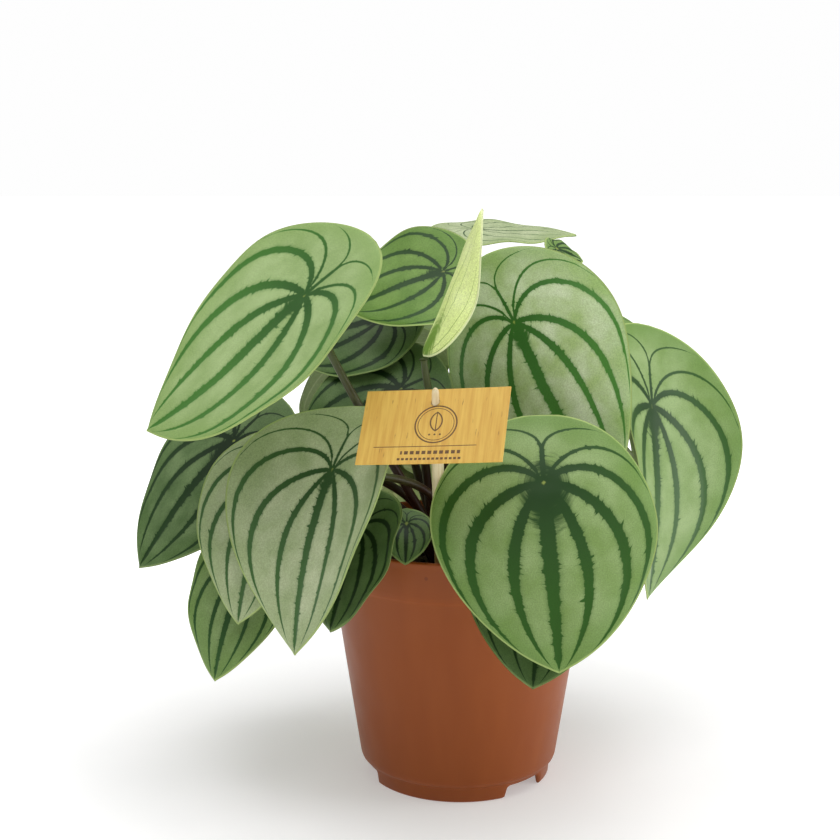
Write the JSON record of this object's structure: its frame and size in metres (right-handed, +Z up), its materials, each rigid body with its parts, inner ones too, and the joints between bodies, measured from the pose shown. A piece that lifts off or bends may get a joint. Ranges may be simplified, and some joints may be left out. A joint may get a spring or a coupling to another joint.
{
  "type": "potted peperomia",
  "caption": "Rosette house plant with striped, shield-shaped leaves on bowed stalks, in a tapered plastic nursery pot with a small card on a stake.",
  "frame": {"origin": "centre of the pot's underside, on the surface it stands on", "axes": "+Z up out of the pot, -Y the front with the card, +X to the right of the card"},
  "size_m": [0.2808, 0.2418, 0.2554],
  "materials": {
    "pot": "satin injection-moulded polypropylene",
    "soil": "moist peat compost",
    "crown": "scarred plant stem",
    "leaf": "fleshy satin leaf, silver between dark green stripes",
    "petiole": "smooth reddish leaf stalk",
    "card": "printed wood grain",
    "stake": "turned pale wood"
  },
  "bodies": {
    "root": {"pot": "pot", "soil": "soil", "crown": "crown", "label_card": "card", "label_stake": "stake", "leaf_01": "leaf", "leaf_02": "leaf", "leaf_03": "leaf", "leaf_04": "leaf", "leaf_05": "leaf", "leaf_06": "leaf", "leaf_07": "leaf", "leaf_08": "leaf", "leaf_09": "leaf", "leaf_10": "leaf", "leaf_11": "leaf", "leaf_12": "leaf", "leaf_13": "leaf", "leaf_14": "leaf", "leaf_15": "leaf", "leaf_16": "leaf", "leaf_17": "leaf", "leaf_18": "leaf", "leaf_19": "leaf", "leaf_20": "leaf", "leaf_21": "leaf", "leaf_22": "leaf", "leaf_23": "leaf", "leaf_24": "leaf", "petiole_01": "petiole", "petiole_02": "petiole", "petiole_03": "petiole", "petiole_04": "petiole", "petiole_05": "petiole", "petiole_06": "petiole", "petiole_07": "petiole", "petiole_08": "petiole", "petiole_09": "petiole", "petiole_10": "petiole", "petiole_11": "petiole", "petiole_12": "petiole", "petiole_13": "petiole", "petiole_14": "petiole", "petiole_15": "petiole", "petiole_16": "petiole", "petiole_17": "petiole", "petiole_18": "petiole", "petiole_19": "petiole", "petiole_20": "petiole", "petiole_21": "petiole", "petiole_22": "petiole", "petiole_23": "petiole", "petiole_24": "petiole"}
  },
  "joints": []
}
